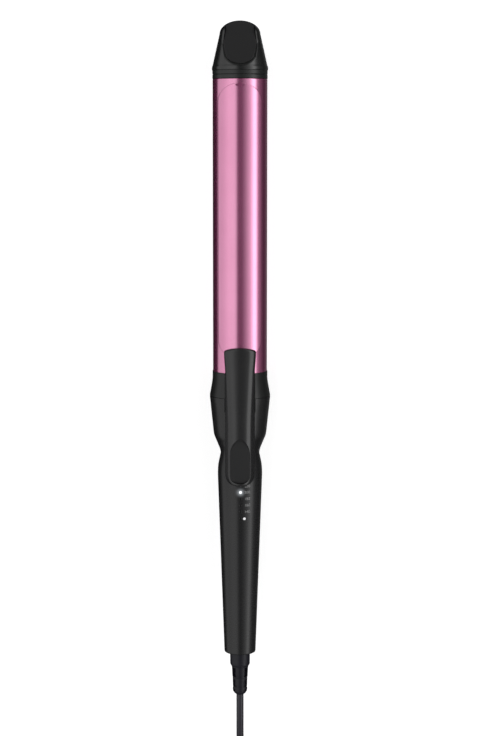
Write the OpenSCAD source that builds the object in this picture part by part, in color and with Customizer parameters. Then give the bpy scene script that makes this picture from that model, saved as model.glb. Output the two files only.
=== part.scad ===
// Curling wand with a sprung clip, lying on a table with its thumb lever up.
// +Y runs from the cord end to the cool tip, +Z is up, and the origin is on the
// table below the wand's axis, half way along it. "Height" in the hinge, lever,
// stand and button values is counted from the wand's axis, not from the table.

/* [Barrel] */
// Outside diameter of the heated barrel
barrel_d = 32; // [31.6:0.1:32]
// Wall thickness of the barrel tube
barrel_wall = 1; // [0.6:0.1:1]
// Position of the barrel's edge at the cool tip
barrel_front_y = 168.4; // [166:0.1:169]
// Position of the barrel's edge inside the handle
barrel_back_y = -9.5; // [-10:0.5:-9]

/* [Cool tip] */
// Position of the end of the cool tip
tip_end_y = 201.9; // [200:0.1:203]
// Position of the cool tip's wide rim
tip_rim_y = 173.2; // [172.8:0.1:173.5]
// Radius of the cool tip's rim
tip_rim_r = 16.4; // [16.2:0.1:16.6]
// Radius of the cool tip where its dome starts
tip_dome_r = 11.9; // [11.5:0.1:12.5]
// Height of the cool tip's dome
tip_dome_h = 7.8; // [7:0.1:8.5]
// Tilt of the finger flat on the cool tip
tip_flat_tilt = 24.5; // [23:0.5:26]

/* [Handle] */
// Radius of the shoulder, the wand's widest point
shoulder_r = 18; // [17.8:0.1:18.2]
// Position of the seam between ferrule and handle
seam_y = -18; // [-18.5:0.5:-17.5]
// Radius of the waist under the lever
waist_r = 11.7; // [11.6:0.1:11.9]
// Radius of the swell below the waist
grip_r = 13.3; // [13.2:0.1:13.4]
// Radius of the handle at its cord end
handle_end_r = 9.45; // [9.3:0.05:9.6]
// Position of the handle's cord end
handle_end_y = -175.2; // [-176:0.1:-175]
// Wall thickness of the handle shells
shell_wall = 2; // [1.8:0.1:2.2]

/* [Clip and lever] */
// Thickness of the clip's sheet
clip_t = 0.7; // [0.5:0.1:0.7]
// Gap between the clip's sheet and the barrel
clip_gap = 0.3; // [0.3:0.05:0.4]
// Half of the clip's width
clip_half_w = 12.8; // [12:0.1:13.2]
// Position of the clip's round end near the tip
clip_end_y = 165.7; // [162:0.1:166]
// Half of the lever's width
lever_half_w = 8.4; // [8.2:0.1:8.6]
// Position of the lever's thumb end
lever_back_y = -69; // [-70:0.5:-68.5]
// Height of the lever's hinge
hinge_h = 12; // [12:0.1:12.2]
// Position of the lever's hinge
hinge_y = -17.5; // [-17.7:0.1:-17.3]

/* [Cord] */
// Diameter of the cord
cord_d = 4.4; // [4.2:0.1:4.4]
// Diameter of a plug pin
plug_pin_d = 4; // [4:0.1:4.8]
// Distance between the plug pins
plug_pin_gap = 18.6; // [18:0.1:19]

/* [Hidden] */
$fn = 64;

barrel_r = barrel_d / 2;
axis_h = shoulder_r;
clip_in_r = barrel_r + clip_gap;
clip_out_r = clip_in_r + clip_t;

// Handle outline: where each stretch starts, from the seam to the cord end
ferrule_y = -3.1;
flare_y = -6.8;
collar_y = -39.2;
collar_r = 15.85;
waist_y = -51.7;
grip_y = -66;
end_round = 0.9;
end_wall = 3;

// Seat of the finger flat: its lower end, counted along the wand and up from the axis
flat_y = 176.6;
flat_h = 13.4;

// Lever outline
channel_half_w = lever_half_w + 1;
channel_back_y = -26.4;
lever_front_y = 12.2;
lever_front_h = 19.2;
lever_slope = 0.071;
lever_crown = 4.8;
pin_r = 1.25;
run_fit = 0.06;
pad_half_w = 5.75;
pad_front_y = -41.2;
pad_back_y = -67.2;
pad_depth = 0.95;
rivet_y = [7, -1.5];
clip_back_y = -5.5;

// Controls: five lamps in a row, and three keys on the right flank
lamp_x = 0.3;
lamp_y = -74.6;
lamp_pitch = 3.93;
lamp_r = 0.75;
key_angle = 35;
key_r = 2.4;
key_y = [-80.5, -88, -95.5];
key_proud = 0.25;
key_inner = 9.95;
board_y = [-100.5, -56.5];
board_h = 3;

// Stand of bent wire, hinged under the shoulder and folded back under the waist
stand_wire_r = 1.1;
stand_half_w = 7.5;
stand_pivot_y = -21.5;
stand_pivot_h = -14.7;
stand_len = 30.5;

// Rotary contacts of the cord swivel
contact_y = [-156, -160];
bay_y = handle_end_y + end_wall;
core_end_y = handle_end_y - 5;

// Ends of the heat spreaders, the handle's screws, the bore for the strain relief
heat_y = [16, 152];
screw_y = [-114, -142];
cord_bore_r = 5.4;
relief_end_y = -tip_end_y;
cord_r = cord_d / 2;

// Hank: four turns below and three above, drawn in at the waist by the tie
hank_y = -318;
hank_run = 70;
hank_turn_r = 13.2;
hank_turns = 4;
hank_h = 8.8;
hank_waist_h = 9.9;
tie_w = 7;
tie_t = 1;

// Cord from the strain relief to the hank, and from the hank to the plug
lead_route = [[0, -201.9, 18], [0, -209.5, 18], [0, -215.5, 17.6], [0, -221, 16.4],
    [0, -226.5, 14.6], [0.2, -232, 12.3], [1.5, -237.5, 9.7], [4.1, -243, 7.2],
    [7.6, -248.6, 5.1], [11.7, -254, 3.6], [15.8, -259.3, 2.7], [19.6, -265, 2.3],
    [22.9, -270.8, 2.2], [25.4, -277, 2.2], [26.4, -283.5, 2.2]];
tail_route = [[21.3, -277.3, 11.05], [22, -283, 11.4], [21.5, -287.6, 11.8],
    [19.9, -292.3, 12.3], [17.8, -296.8, 12.85], [15.7, -301.3, 13.4], [13.6, -305.9, 13.95],
    [11.6, -312.1, 14.7], [10.8, -318.6, 15.25], [10.8, -324, 15.55], [10.8, -330, 15.65]];
plug_x = 10.8;
plug_back_y = -330;
plug_len = 35;
plug_w = 26.4;
plug_h = 13.7;
plug_pin_len = 19;

// Smooth step from 0 to 1
function ease(t) = (1 - cos(180 * t)) / 2;
function mix(a, b, t) = a + (b - a) * t;

// Curved stretch of an outline after p: it leaves p towards c and arrives at q
function bend(p, c, q, n) =
    [for (i = [1 : n]) mix(mix(p, c, i / n), mix(c, q, i / n), i / n)];

// Arc of an ellipse about c from angle a to angle b
function arc(c, rx, ry, a, b, n) =
    [for (i = [0 : n]) c + [rx * cos(mix(a, b, i / n)), ry * sin(mix(a, b, i / n))]];

// Outline of the handle as [radius, position], without its end face
handle_line = concat(
    [[shoulder_r - 0.3, seam_y], [shoulder_r, seam_y - 0.4], [collar_r, collar_y]],
    bend([collar_r, collar_y], [15.5, -42.2], [14.5, -44], 5),
    [[12.7, -48.4]], bend([12.7, -48.4], [waist_r - 0.5, waist_y], [waist_r + 0.1, -53.7], 6),
    [[12.8, -58.4]], bend([12.8, -58.4], [grip_r, -61.1], [grip_r, grip_y], 6),
    arc([handle_end_r - end_round, handle_end_y + end_round], end_round, end_round, 0, -90, 4));

// Radius of the handle on its straight taper
function taper_at(y) = mix(grip_r, handle_end_r,
    (y - grip_y) / (handle_end_y + end_round - grip_y));

// Lifts children from the wand's axis to its height above the table
module on_axis() {
    translate([0, 0, axis_h]) children();
}

// Turns an outline of [radius, position] points about the wand's axis
module turned(line) {
    on_axis() rotate([-90, 0, 0]) rotate_extrude($fn = 96) polygon(line);
}

// Plain ring or disc about the wand's axis
module ring(r_out, r_in, y0, y1) {
    turned([[r_in, y0], [r_out, y0], [r_out, y1], [r_in, y1]]);
}

// Round bar along X, Y or Z, centred on its start in the other two directions
module bar_x(p, r, len) {
    translate(p) rotate([0, 90, 0]) cylinder(r = r, h = len);
}
module bar_y(p, r, len) {
    translate(p) rotate([-90, 0, 0]) cylinder(r = r, h = len);
}
module bar_z(p, r, len) {
    translate(p) cylinder(r = r, h = len);
}

// Box between two corners
module block(low, high) {
    translate(low) cube(high - low);
}

// Children moved to the right flank, with their +Z pointing out of the keys
module on_flank(y) {
    on_axis() translate([0, y, 0]) rotate([0, 90 + key_angle, 0]) children();
}

// Round tube swept along a route of points
function unit(v) = v / norm(v);
function heading(p, i) = unit(p[min(i + 1, len(p) - 1)] - p[max(i - 1, 0)]);
function hoop(p, i, r, n) = let (t = heading(p, i), s = unit(cross([0, 0, 1], t)), u = cross(t, s))
    [for (k = [0 : n - 1]) p[i] + r * (cos(360 * k / n) * s + sin(360 * k / n) * u)];
module swept(p, r, n) {
    last = len(p) - 1;
    polyhedron(
        points = [for (i = [0 : last]) each hoop(p, i, r, n)],
        faces = concat(
            [[for (k = [0 : n - 1]) k]],
            [[for (k = [n - 1 : -1 : 0]) last * n + k]],
            [for (i = [0 : last - 1], k = [0 : n - 1])
                [i * n + k, (i + 1) * n + k, (i + 1) * n + (k + 1) % n, i * n + (k + 1) % n]]));
}

module barrel_tube() {
    color("#b86a92") ring(barrel_r, barrel_r - barrel_wall, barrel_back_y, barrel_front_y);
}

// Outline of the cool tip's outside, from the rim to the end
tip_line = concat(
    [[tip_rim_r, tip_rim_y], [tip_rim_r, tip_rim_y + 1.6], [tip_rim_r - 0.4, tip_rim_y + 2.4]],
    arc([0, tip_end_y - tip_dome_h], tip_dome_r, tip_dome_h, 0, 90, 14));

// Seat of the finger flat, and the space that it cuts from the tip
module on_flat() {
    on_axis() translate([0, flat_y, flat_h]) rotate([-tip_flat_tilt, 0, 0]) children();
}
module flat_space() {
    on_flat() linear_extrude(20) flat_plan(8.5);
}

// Plan of the finger flat: a round end of radius r that widens towards the tip's end
module flat_plan(r) {
    hull() {
        translate([0, 8.5]) circle(r = r, $fn = 48);
        translate([-14, 24]) square([28, 10]);
    }
}

module cool_tip() {
    tip_wall = 2;
    color("#262629") difference() {
        union() {
            difference() {
                turned(concat([[0, tip_rim_y]], tip_line));
                turned([[0, tip_rim_y - 1], [14.2, tip_rim_y - 1], [14.2, tip_rim_y + 3], [9.6, 194],
                    [6, tip_end_y - tip_wall - 1], [0, tip_end_y - tip_wall]]);
            }
            intersection() {
                turned(concat([[0, tip_rim_y]], tip_line));
                union() {
                    ring(4, 0, tip_rim_y, tip_end_y - 1);
                    flat_backing();
                }
            }
        }
        flat_space();
        on_axis() bar_y([0, tip_rim_y - 1, 0], 1.25, 16);
    }
}

// Wall behind the finger flat
module flat_backing() {
    on_flat() translate([-12, 0, -2]) cube([24, 30, 5]);
}

// Soft pad that fills the lower 0.8 mm of the finger flat's space
module tip_pad() {
    pad_t = 0.8;
    color("#38383c") intersection() {
        turned(concat([[0, tip_rim_y]], tip_line));
        on_flat() linear_extrude(pad_t) flat_plan(8.5);
    }
}

module tip_ring() {
    ring_r = barrel_r + 0.1;
    color("#1d1e1f") difference() {
        turned([[0, 164], [14.9, 164], [14.9, barrel_front_y], [ring_r, barrel_front_y],
            [ring_r, 169.9], [ring_r - 0.5, 170.2], [ring_r - 0.5, 171.4],
            [ring_r, 171.7], [ring_r, tip_rim_y], [0, tip_rim_y]]);
        ring(12.5, 0, 163, 170);
        on_axis() bar_y([0, 163, 0], 1.4, 12);
    }
}

module tip_screw() {
    color("silver") on_axis() {
        bar_y([0, 167.4, 0], 2.6, 2.6);
        bar_y([0, 167.4, 0], 1.2, 18);
    }
}

// Half-round aluminium bar that carries the heat to the barrel
module heat_spreader(side) {
    gap_half = 1.5;
    color("#b9bcc0") difference() {
        ring(14.7, 0, heat_y[0], heat_y[1]);
        on_axis() mirror([0, 0, side > 0 ? 0 : 1]) {
            block([-16, heat_y[0] - 1, -16], [16, heat_y[1] + 1, gap_half]);
            intersection() {
                bar_y([0, heat_y[0] - 1, 0], 12.2, 140);
                block([-16, heat_y[0] - 2, 4], [16, heat_y[1] + 2, 16]);
            }
        }
    }
}
module heat_spreader_upper() {
    heat_spreader(1);
}
module heat_spreader_lower() {
    heat_spreader(-1);
}

module heater_element() {
    color("ivory") on_axis() block([-6, heat_y[0] + 12, -1.5], [6, heat_y[1] - 12, 1.5]);
}

// Wavy steel strip that keeps the heater centred between the spreaders
module spreader_spring() {
    waves = 3;
    strip_t = 0.3;
    color("silver") for (side = [-1, 1]) on_axis() translate([side * 10, 0, 0])
        rotate([-90, 0, 0]) translate([0, 0, heat_y[0]]) linear_extrude(136) polygon(concat(
            [for (i = [0 : waves * 8]) [mix(-2.5, 2.5, i / (waves * 8)), -1.1 * cos(45 * i)]],
            [for (i = [waves * 8 : -1 : 0])
                [mix(-2.5, 2.5, i / (waves * 8)), strip_t - 1.1 * cos(45 * i)]]));
}

module thermistor() {
    color("#8a3324") on_axis() bar_y([5, 8, 1.5], 1.1, 5);
}

module thermal_fuse() {
    color("#c9b27a") on_axis() bar_y([-6, 2.5, -4], 1.9, 12);
}

// Heater leads run from the element through the carrier to the board
module heater_leads() {
    lead_r = 0.7;
    color("white") on_axis() for (side = [-1, 1])
        swept([[side * 3, 27.8, 0], [side * 3, 15.5, -0.3], [side * 2.5, 8, -3], [side * 2, -4, -4.5],
            [side * 2, -27, -4.5], [side * 3, -42, -2], [side * 4, -54.5, 3.2],
            [side * 4, board_y[1] + 0.2, 3.6]], lead_r, 8);
}

module sensor_leads() {
    lead_r = 0.5;
    color("#d8c24a") on_axis() for (shift = [0, 1.4])
        swept([[4.4 + shift, 7.8, 1.5], [2.4 + shift, 0, -1.5], [1.2 + shift, -6, -1],
            [0.2 + shift, -24, -0.8], [-0.7 + shift, -40, 1], [-0.7 + shift, -54.5, 3.3],
            [-0.7 + shift, board_y[1] + 0.2, 3.6]], lead_r, 8);
}

// Heat-proof moulding that plugs into the barrel and carries the hinge bracket
module barrel_carrier() {
    seat_h = 5;
    color("#4a4440") difference() {
        union() {
            ring(barrel_r - barrel_wall - 0.05, 0, barrel_back_y, 0.5);
            intersection() {
                ring(14.8, 0, seam_y, barrel_back_y);
                on_axis() block([-20, -40, -20], [20, 1, seat_h]);
            }
            intersection() {
                ring(12, 0, channel_back_y, seam_y);
                on_axis() block([-20, -40, -20], [20, 1, seat_h]);
            }
        }
        on_axis() {
            bar_y([0, -40, -2.5], 5, 42);
            block([-9, -40, seat_h], [9, barrel_back_y + 2, 20]);
        }
    }
}

module ferrule() {
    mouth_r = barrel_r + 0.3;
    color("#1f2021") difference() {
        turned(concat(
            [[barrel_r + 0.02, ferrule_y], [mouth_r, ferrule_y], [mouth_r, flare_y]],
            bend([mouth_r, flare_y], [mouth_r, flare_y - 2], [shoulder_r, seam_y + 0.4], 8),
            [[shoulder_r - 0.3, seam_y], [15, seam_y], [15, barrel_back_y],
                [barrel_r + 0.02, barrel_back_y]]));
        on_axis() block([-channel_half_w, seam_y - 1, 5], [channel_half_w, 0, 20]);
    }
}

module handle_solid() {
    turned(concat(handle_line, [[0, handle_end_y]], [[0, seam_y]]));
}

// Inside of the handle: its outline moved in by the wall, open at the seam
module handle_hollow() {
    turned(concat([[0, seam_y + 1], [shoulder_r - shell_wall, seam_y + 1]],
        [for (p = handle_line) if (p[1] > handle_end_y + end_round) [p[0] - shell_wall, p[1]]],
        [[handle_end_r - shell_wall, bay_y], [0, bay_y]]));
}

module handle_upper_shell() {
    color("#252528") difference() {
        union() {
            difference() {
                handle_solid();
                handle_hollow();
            }
            intersection() {
                handle_solid();
                for (y = screw_y) on_axis() bar_z([0, y, 0], 2.8, 20);
            }
        }
        on_axis() {
            block([-20, -180, -20], [20, 0, 0]);
            block([-channel_half_w, channel_back_y, 5], [channel_half_w, 0, 20]);
            for (y = screw_y) bar_z([0, y, -1], 1.2, 6);
            for (i = [0 : 4]) bar_z([lamp_x, lamp_y - i * lamp_pitch, 8], lamp_r + 0.05, 10);
            bar_y([0, -180, 0], cord_bore_r, 10);
        }
    }
}

module handle_lower_shell() {
    groove_half = 1.4;
    color("#252528") difference() {
        union() {
            difference() {
                handle_solid();
                handle_hollow();
            }
            intersection() {
                handle_solid();
                on_axis() {
                    for (y = screw_y) bar_z([0, y, -20], 3.6, 20);
                    block([-11, -39, -20], [11, seam_y, -12.2]);
                }
            }
        }
        on_axis() {
            block([-20, -180, 0], [20, 0, 20]);
            for (y = screw_y) {
                bar_z([0, y, -20], 1.6, 25);
                bar_z([0, y, -20], 2.8, 20 - taper_at(y) + 3);
            }
            for (side = [-1, 1]) translate([side * stand_half_w, 0, 0])
                block([-groove_half, -43, -20], [groove_half, stand_pivot_y + 1.8, stand_pivot_h + 1.4]);
            bar_x([-stand_half_w, stand_pivot_y, stand_pivot_h], stand_wire_r + 0.05, 2 * stand_half_w);
            bar_y([0, -180, 0], cord_bore_r, 10);
        }
        for (y = key_y) on_flank(y) cylinder(r = key_r + 0.25, h = 20);
    }
}

module handle_screws() {
    color("silver") on_axis() for (y = screw_y) {
        bar_z([0, y, 0.4 - taper_at(y)], 2.5, 2.2);
        bar_z([0, y, 1 - taper_at(y)], 1.15, taper_at(y) + 3.5);
    }
}

module circuit_board() {
    color("#1f6b45") on_axis() block([-7, board_y[0], board_h], [7, board_y[1], board_h + 1.2]);
}

// Lamps, controller chip, triac and capacitor on the main board
module board_parts() {
    top = board_h + 1.2;
    color("#303236") on_axis() {
        for (i = [0 : 4]) translate([lamp_x, lamp_y - i * lamp_pitch, top])
            block([-0.8, -0.6, 0], [0.8, 0.6, 0.9]);
        block([-5.5, -70, top], [-0.5, -64, top + 1.2]);
        block([1.5, -69, top], [5.5, -61, top + 3.2]);
        bar_x([-6.5, -96, board_h - 2.6], 2.6, 8);
    }
}

module switch_board() {
    color("#1f6b45") on_flank(key_y[1]) block([-4, -13, 6.4], [4, 13, 7.4]);
}

module tact_switches() {
    color("#3a3b3d") for (y = key_y) on_flank(y) {
        block([-2.4, -2.4, 7.4], [2.4, 2.4, 8.8]);
        translate([0, 0, 8.8]) cylinder(r = 1.2, h = key_inner - 0.65 - 8.8);
    }
}

// Light guides of the five lamps, joined by a bar inside the shell
module indicator_lenses() {
    bar_top = 8.6;
    color("#8d8f94") on_axis() {
        block([lamp_x - 1.2, lamp_y - 4 * lamp_pitch - 1.5, bar_top - 1],
            [lamp_x + 1.2, lamp_y + 1.5, bar_top]);
        for (i = [0 : 4]) let (y = lamp_y - i * lamp_pitch)
            bar_z([lamp_x, y, bar_top - 0.5], lamp_r, taper_at(y) + 0.5 - bar_top);
    }
}

module hinge_bracket() {
    ear_in = 4.6;
    ear_out = 5.8;
    color("silver") on_axis() difference() {
        union() {
            block([-ear_out, hinge_y - 5, 5], [ear_out, hinge_y + 5, 6]);
            for (side = [-1, 1]) translate([side * (ear_in + ear_out) / 2, 0, 0]) {
                ear_half = (ear_out - ear_in) / 2;
                block([-ear_half, hinge_y - 3, 5.5], [ear_half, hinge_y + 3, hinge_h]);
                bar_x([-ear_half, hinge_y, hinge_h], 3, 2 * ear_half);
            }
        }
        bar_x([-10, hinge_y, hinge_h], pin_r, 20);
    }
}

module pivot_pin() {
    color("silver") on_axis() bar_x([0.3 - lever_half_w, hinge_y, hinge_h], pin_r, 2 * lever_half_w - 0.6);
}

// Torsion spring about the pin: closed coils and two legs
module clip_spring() {
    wire_r = 0.45;
    coil_r = 2.3;
    coils = 9;
    pitch = 0.88;
    color("#a9abad") on_axis() translate([0, hinge_y, hinge_h]) {
        for (i = [0 : coils - 1]) translate([(i - (coils - 1) / 2) * pitch, 0, 0]) rotate([0, 90, 0])
            rotate_extrude() translate([coil_r, 0]) circle(r = wire_r, $fn = 16);
        translate([(coils - 1) / 2 * pitch, 0, coil_r]) rotate([70, 0, 0]) cylinder(r = wire_r, h = 7);
        translate([-(coils - 1) / 2 * pitch, 0, -coil_r]) rotate([115, 0, 0]) cylinder(r = wire_r, h = 4.6);
    }
}

// Ring in the handle that holds the swivel core's flange
module swivel_socket() {
    color("#3c3f42") difference() {
        ring(7.4, 4.2, bay_y, bay_y + 6);
        ring(6.8, 0, bay_y - 1, bay_y + 3.3);
    }
}

// Two pairs of sprung blades that touch the slip rings
module slip_contacts() {
    color("gold") on_axis() for (y = contact_y, side = [-1, 1]) {
        translate([0, y, side * 4.05]) block([-1.5, -1, -0.2], [1.5, 1, 0.2]);
        translate([0, y, side * 4.05]) block([1.3, -1, -0.2], [5.2, 1, 0.2]);
    }
}

module supply_leads() {
    lead_r = 0.7;
    color("#7b3f2a") on_axis() for (side = [-1, 1])
        swept([[side * 4, board_y[0] - 0.2, 3.6], [side * 4.2, -103, 3.6], [side * 5.2, -112, 3.4],
            [side * 5.4, -142, 3.8], [side * 4.8, -152, 4.6],
            [side * 4.6, contact_y[0] + 1.4, 4.7]], lead_r, 8);
}

// Plan of the clip: round at the tip, drawn in to a tongue under the lever
module clip_plan() {
    shoulder_y = 16.3;
    corner_r = 9.5;
    tongue_half = 7.5;
    end_len = 10.5;
    polygon(concat(
        arc([0, clip_end_y - end_len], clip_half_w, end_len, 0, 180, 24),
        arc([corner_r - clip_half_w, shoulder_y], corner_r, corner_r, 180, 240, 6),
        [[-tongue_half, 6.5], [-tongue_half, clip_back_y], [tongue_half, clip_back_y],
            [tongue_half, 6.5]],
        arc([clip_half_w - corner_r, shoulder_y], corner_r, corner_r, -60, 0, 6)));
}

module clip_blade() {
    color("#cf7fa6") difference() {
        intersection() {
            ring(clip_out_r, clip_in_r, clip_back_y - 1, clip_end_y + 1);
            on_axis() linear_extrude(20) clip_plan();
        }
        for (y = rivet_y) on_axis() bar_z([0, y, 10], 1, 10);
    }
}

module clip_rivets() {
    color("silver") on_axis() for (y = rivet_y) bar_z([0, y, clip_in_r], 1, 2.2);
}

// Lever without its pad recess: side outline, plan outline and sloping sides
module lever_solid() {
    top_back_h = lever_front_h + lever_slope * (lever_front_y - lever_back_y);
    side_fall = 36;
    difference() {
        intersection() {
            on_axis() rotate([90, 0, 90]) linear_extrude(24, center = true) polygon([
                [lever_front_y, 14], [lever_front_y, lever_front_h], [lever_back_y, top_back_h],
                [lever_back_y, top_back_h - 2.2], [hinge_y - 7.5, 19.1], [hinge_y - 5.2, 17.3],
                [hinge_y - 4, hinge_h], [hinge_y + 3.6, hinge_h], [hinge_y + 5.8, 16.8],
                [hinge_y + 8.4, 16.8], [hinge_y + 9, 14]]);
            on_axis() linear_extrude(40) polygon(concat(
                arc([0, lever_back_y + 8], lever_half_w, 8, 180, 360, 16),
                [[lever_half_w, -2.5]],
                arc([0, lever_front_y - 2.6], lever_half_w + 1, 2.6, 0, 180, 12),
                [[-lever_half_w, -2.5]]));
        }
        ring(clip_out_r + 0.02, 0, hinge_y + 8.4, 20);
        for (side = [0, 1]) mirror([side, 0, 0]) on_axis()
            translate([lever_crown, lever_front_y, lever_front_h])
                rotate([-atan(lever_slope), side_fall, 0]) block([0, -120, 0], [20, 20, 10]);
        on_axis() block([-6.1, hinge_y - 6, 0], [6.1, hinge_y + 5.8, 17]);
    }
}

// Space of the thumb pad in the lever's crown
module pad_space() {
    pad_mid_y = (pad_front_y + pad_back_y) / 2;
    pad_floor_h = lever_front_h + lever_slope * (lever_front_y - pad_mid_y) - pad_depth;
    pad_half_len = (pad_front_y - pad_back_y) / 2;
    on_axis() translate([0, pad_mid_y, pad_floor_h]) rotate([-atan(lever_slope), 0, 0])
        linear_extrude(10) polygon(arc([0, 0], pad_half_w, pad_half_len, 0, 350, 35));
}

module lever() {
    ear_r = 3.6;
    color("#242427") difference() {
        union() {
            difference() {
                lever_solid();
                pad_space();
            }
            for (side = [-1, 1]) on_axis() translate([side * (lever_half_w + 6.1) / 2, 0, 0])
                bar_x([-(lever_half_w - 6.1) / 2, hinge_y, hinge_h], ear_r, lever_half_w - 6.1);
        }
        on_axis() {
            bar_x([-10, hinge_y, hinge_h], pin_r + run_fit, 20);
            for (y = rivet_y) bar_z([0, y, 10], 1.02, clip_in_r + 2.2 - 10);
        }
    }
}

module thumb_pad() {
    color("#3b3b3f") intersection() {
        lever_solid();
        pad_space();
    }
}

// Round key: its top stands a little proud of the handle
module key_cap(i) {
    color("#4a4b50") on_flank(key_y[i]) translate([0, 0, key_inner])
        cylinder(r = key_r, h = taper_at(key_y[i]) + key_proud - key_inner);
}
module power_button() {
    key_cap(0);
}
module heat_up_button() {
    key_cap(1);
}
module heat_down_button() {
    key_cap(2);
}

module stand_loop() {
    color("silver") on_axis() {
        for (side = [-1, 1]) translate([side * stand_half_w, stand_pivot_y, stand_pivot_h]) {
            sphere(r = stand_wire_r);
            rotate([90, 0, 0]) cylinder(r = stand_wire_r, h = stand_len);
            rotate([0, -90 * side, 0]) cylinder(r = stand_wire_r, h = 3.4);
        }
        translate([0, stand_pivot_y - stand_len, stand_pivot_h]) rotate([0, 0, 180])
            rotate_extrude(angle = 180) translate([stand_half_w, 0]) circle(r = stand_wire_r);
    }
}

module swivel_core() {
    color("#2b2c2e") difference() {
        turned([[0, core_end_y], [5.1, core_end_y], [5.1, bay_y + 0.3], [6.5, bay_y + 0.3],
            [6.5, bay_y + 2.7], [3.4, bay_y + 2.7], [3.4, contact_y[0] + 2.4],
            [0, contact_y[0] + 2.4]]);
        on_axis() bar_y([0, core_end_y + 2, 0], 1.6, 18);
    }
}

module slip_rings() {
    color("gold") for (y = contact_y) ring(3.8, 3.42, y - 1.2, y + 1.2);
}

// Tapered sleeve that guards the cord where it leaves the handle
module strain_relief() {
    color("#2e2c33") difference() {
        turned(concat(
            [[0, handle_end_y - 0.2], [6.05, handle_end_y - 0.2], [6, -182.8]],
            bend([6, -182.8], [5.1, -183.6], [4.85, -186.3], 5),
            [[4.45, -193.4]],
            arc([2.7, -199.4], 1.5, relief_end_y + 199.4, 0, 90, 5),
            [[0, relief_end_y]]));
        ring(5.12, 0, core_end_y, handle_end_y + 1);
        on_axis() for (a = [45 : 90 : 315], y = [[-190.6, -184.6], [-196.8, -191.8], [-200.3, -198.2]])
            rotate([0, a, 0]) block([-1.2, y[0], 3.5], [1.2, y[1], 8]);
    }
}

module cord_lead() {
    color("#29272c") swept(lead_route, cord_r, 10);
}

// Half-width of a hank turn of radius r at a distance d from the hank's middle
function hank_half_w(r, d) = mix(r - hank_turn_r + cord_r, r, ease(min(1, d / (hank_run / 2))));

// Closed outline of the hank, round at both ends and drawn in at its waist
function hank_outline(r) = concat(
    arc([0, hank_run / 2], r, r, 0, 180, 16),
    [for (i = [1 : 9]) let (d = hank_run / 2 - i * hank_run / 10) [-hank_half_w(r, abs(d)), d]],
    arc([0, -hank_run / 2], r, r, 180, 360, 16),
    [for (i = [1 : 9]) let (d = i * hank_run / 10 - hank_run / 2) [hank_half_w(r, abs(d)), d]]);

module cord_hank() {
    outer_r = hank_turn_r + (hank_turns - 1) * cord_d + cord_r;
    color("#302e34") translate([0, hank_y, 0]) difference() {
        union() {
            linear_extrude(hank_h) polygon(hank_outline(outer_r));
            linear_extrude(hank_waist_h) intersection() {
                polygon(hank_outline(outer_r));
                square([60, 20], center = true);
            }
        }
        block([-30, -tie_w / 2 - 0.5, -1], [30, tie_w / 2 + 0.5, tie_t]);
    }
}

module cord_tail() {
    color("#29272c") swept(tail_route, cord_r, 10);
}

// Strap round the waist of the hank
module cord_tie() {
    in_half = hank_half_w(hank_turn_r + (hank_turns - 1) * cord_d + cord_r, tie_w / 2) + 0.6;
    color("#18181a") translate([0, hank_y, 0]) difference() {
        block([-in_half - tie_t, -tie_w / 2, 0], [in_half + tie_t, tie_w / 2, hank_waist_h + tie_t]);
        block([-in_half, -tie_w, tie_t], [in_half, tie_w, hank_waist_h]);
    }
}

// Flat two-pin plug: waisted grip behind a round-ended face
module plug_body() {
    neck_w = 9;
    grip_back = 10;
    color("#26242a") translate([plug_x, plug_back_y, hank_h]) rotate([0, 0, 180]) intersection() {
        linear_extrude(plug_h) polygon(concat(
            [[neck_w / 2, 0]],
            bend([neck_w / 2, 0], [neck_w / 2 + 1, grip_back], [plug_w / 2 - 3, grip_back + 8], 6),
            bend([plug_w / 2 - 3, grip_back + 8], [plug_w / 2, grip_back + 11], [plug_w / 2, plug_len], 4),
            [[-plug_w / 2, plug_len]],
            bend([-plug_w / 2, plug_len], [-plug_w / 2, grip_back + 11], [3 - plug_w / 2, grip_back + 8], 4),
            bend([3 - plug_w / 2, grip_back + 8], [-neck_w / 2 - 1, grip_back], [-neck_w / 2, 0], 6)));
        rotate([-90, 0, 0]) linear_extrude(plug_len) polygon([for (s = [-1, 1]) each
            arc([s * (plug_w - plug_h) / 2, -plug_h / 2], plug_h / 2, plug_h / 2,
                s * 90 + 180, s * 90 + 360, 12)]);
    }
}

module plug_pins() {
    color("silver") for (side = [-1, 1])
        bar_y([plug_x + side * plug_pin_gap / 2, plug_back_y - plug_len - plug_pin_len, hank_h + plug_h / 2],
            plug_pin_d / 2, plug_pin_len);
}

barrel_tube();
cool_tip();
tip_pad();
tip_ring();
tip_screw();
heat_spreader_upper();
heat_spreader_lower();
heater_element();
spreader_spring();
thermistor();
thermal_fuse();
heater_leads();
sensor_leads();
barrel_carrier();
ferrule();
handle_upper_shell();
handle_lower_shell();
handle_screws();
circuit_board();
board_parts();
switch_board();
tact_switches();
indicator_lenses();
hinge_bracket();
pivot_pin();
clip_spring();
swivel_socket();
slip_contacts();
supply_leads();
clip_blade();
clip_rivets();
lever();
thumb_pad();
power_button();
heat_up_button();
heat_down_button();
stand_loop();
swivel_core();
slip_rings();
strain_relief();
cord_lead();
cord_hank();
cord_tail();
cord_tie();
plug_body();
plug_pins();
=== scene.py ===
import math

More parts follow.
